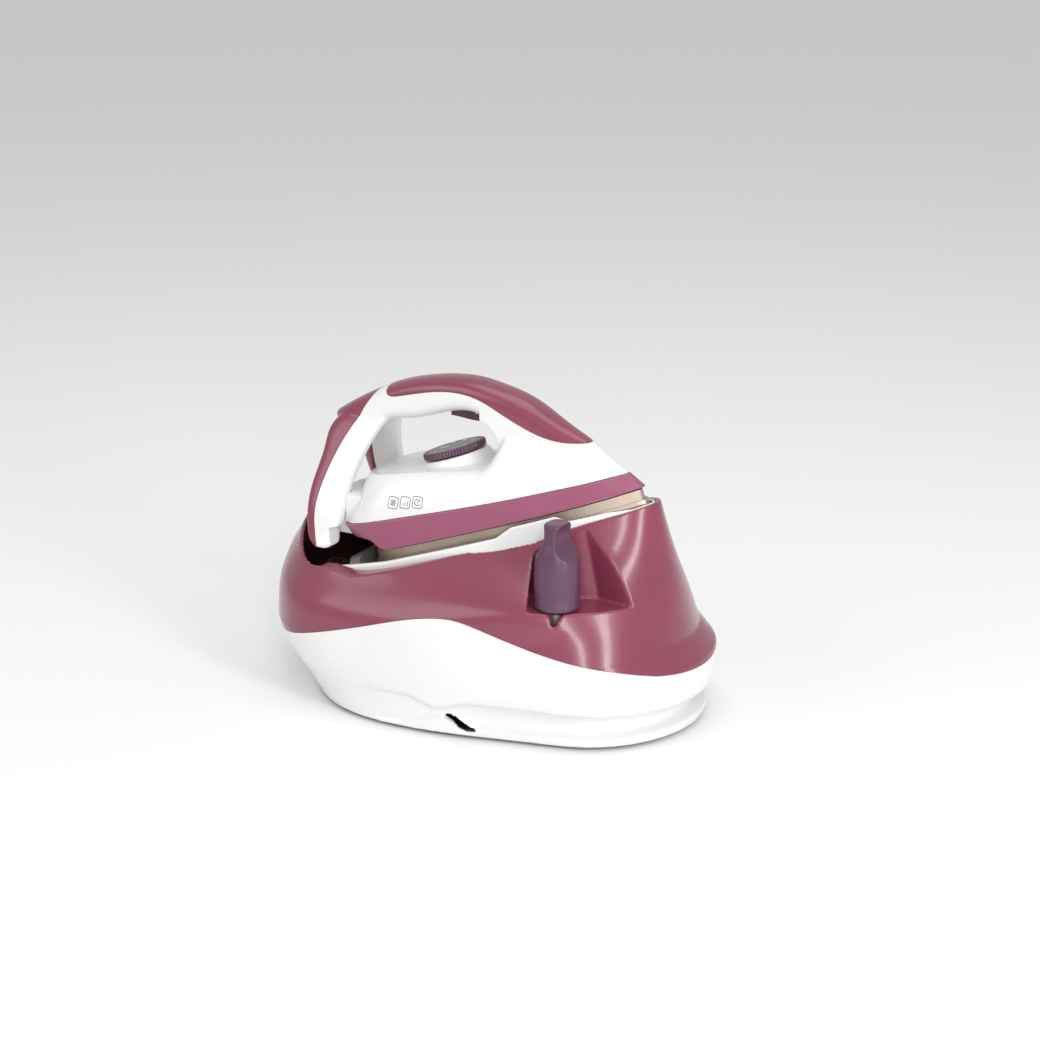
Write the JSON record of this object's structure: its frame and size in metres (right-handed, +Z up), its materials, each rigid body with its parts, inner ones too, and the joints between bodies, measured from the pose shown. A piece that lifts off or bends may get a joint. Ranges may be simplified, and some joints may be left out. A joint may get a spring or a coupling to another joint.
{
  "type": "steam generator iron",
  "caption": "steam iron resting nose up on a boiler base with a screw filler cap, sprung steam trigger, temperature dial and power rocker",
  "frame": {"origin": "on the floor, under the middle of the base's bounding box", "axes": "+Z up, +X towards the nose of the iron and the round bow of the base, -Y towards the side with the filler cap"},
  "size_m": [0.3474, 0.215, 0.2405],
  "materials": {
    "shell_white": "glossy moulded plastic",
    "shell_burgundy": "glossy moulded plastic",
    "skirt_rose": "satin moulded plastic",
    "well_dark": "satin moulded plastic",
    "knob_purple": "satin moulded plastic",
    "dial_print": "printed disc",
    "rest_grey": "heat resistant moulded plastic",
    "soft_rubber": "moulded silicone",
    "sole_metal": "brushed and coated",
    "cast_metal": "as cast",
    "element_steel": "sheathed tube",
    "plated_brass": "machined",
    "coil_black": "moulded",
    "board_green": "lacquered board",
    "screw_steel": "plated",
    "tube_silicone": "silicone tube",
    "lamp_lens": "tinted lens"
  },
  "bodies": {
    "base": {"lower_shell": "shell_white", "rest_frame": "shell_white", "upper_shell": "shell_burgundy", "niche_liner": "shell_burgundy", "rear_well": "well_dark", "rest_deck": "rest_grey", "heel_stop": "rest_grey", "rest_pad_front": "soft_rubber", "rest_pad_near": "soft_rubber", "rest_pad_far": "soft_rubber", "foot_1": "soft_rubber", "foot_2": "soft_rubber", "foot_3": "soft_rubber", "foot_4": "soft_rubber", "boiler_lower": "cast_metal", "boiler_upper": "cast_metal", "boiler_element": "element_steel", "valve_body": "plated_brass", "steam_pipe": "plated_brass", "hose_gland": "plated_brass", "valve_coil": "coil_black", "pressure_switch": "coil_black", "boiler_thermostat": "coil_black", "terminal_block": "coil_black", "mains_gland": "coil_black", "switch_housing": "coil_black", "bottom_plate": "coil_black", "thermal_fuse": "coil_black", "control_board": "board_green", "bottom_screw_1": "screw_steel", "bottom_screw_2": "screw_steel", "bottom_screw_3": "screw_steel", "bottom_screw_4": "screw_steel", "lamp_power": "lamp_lens", "lamp_ready": "lamp_lens"},
    "iron": {"soleplate": "sole_metal", "sole_casting": "cast_metal", "chamber_cover": "cast_metal", "iron_element": "element_steel", "iron_thermostat": "coil_black", "heat_skirt": "skirt_rose", "iron_body": "shell_white", "handle_shell": "shell_white", "top_grip": "shell_burgundy", "rear_cover": "shell_burgundy", "heel_bridge": "shell_white", "iron_gland": "plated_brass", "dial_collar": "shell_white", "trigger_pin": "screw_steel", "trigger_spring": "screw_steel", "steam_switch": "coil_black", "steam_tube": "tube_silicone"},
    "dial": {"temperature_dial": "knob_purple", "dial_face": "dial_print", "dial_spindle": "plated_brass"},
    "trigger": {"steam_trigger": "well_dark"},
    "filler_riser": {"cap_seal": "soft_rubber"},
    "filler_cap": {"filler_cap": "knob_purple", "cap_plug": "plated_brass"},
    "rocker": {"power_rocker": "coil_black"}
  },
  "joints": [
    {"name": "iron_lift", "type": "slide", "parent": "base", "child": "iron", "axis": [0, 0, 1], "range_m": [0, 0.12]},
    {"name": "dial_turn", "type": "hinge", "parent": "iron", "child": "dial", "pos_m": [-0.03243, 0, 0.18076], "axis": [-0.309, 0, 0.9511], "range_deg": [0, 270]},
    {"name": "trigger_pull", "type": "hinge", "parent": "iron", "child": "trigger", "pos_m": [-0.009, 0, 0.2165], "axis": [0, 1, 0], "range_deg": [0, 8], "stiffness_Nm_per_rad": 0.4, "springref_deg": -8.59, "deforming": ["trigger_spring"]},
    {"name": "cap_rise", "type": "slide", "parent": "base", "child": "filler_riser", "axis": [0, 0, 1], "range_m": [0, 0.006]},
    {"name": "cap_turn", "type": "hinge", "parent": "filler_riser", "child": "filler_cap", "pos_m": [0.087, -0.068, 0.1], "axis": [0, 0, 1], "range_deg": [0, 540.5]},
    {"name": "power_switch", "type": "hinge", "parent": "base", "child": "rocker", "pos_m": [-0.055, 0.1, 0.044], "axis": [0, 0, 1], "range_deg": [0, 16]}
  ],
  "couplings": [
    {"joint": "cap_turn", "follows": "cap_rise", "rad_per_m": 1570.8}
  ]
}
